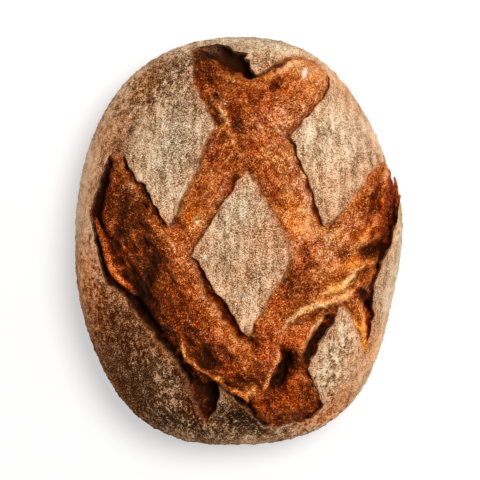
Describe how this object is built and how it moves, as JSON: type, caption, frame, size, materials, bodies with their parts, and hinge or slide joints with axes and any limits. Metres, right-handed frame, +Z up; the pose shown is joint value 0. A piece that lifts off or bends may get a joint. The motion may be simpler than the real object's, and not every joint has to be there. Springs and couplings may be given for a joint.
{
  "type": "sourdough loaf",
  "caption": "Oval hearth-baked country loaf with a floured crust, scored crosswise so that browned dough rose through the cuts around a lozenge of skin.",
  "frame": {"origin": "middle of the loaf's bounding box in plan, on the plane of its flat base", "axes": "+Y runs along the loaf, its longest side; +X runs across it; +Z points up, out of the scored top"},
  "size_m": [0.2108, 0.2627, 0.098],
  "materials": {
    "crust": "dry baked crust: floured matte skin over brown, slightly glossy risen dough"
  },
  "bodies": {
    "root": {"loaf": "crust"}
  },
  "joints": []
}
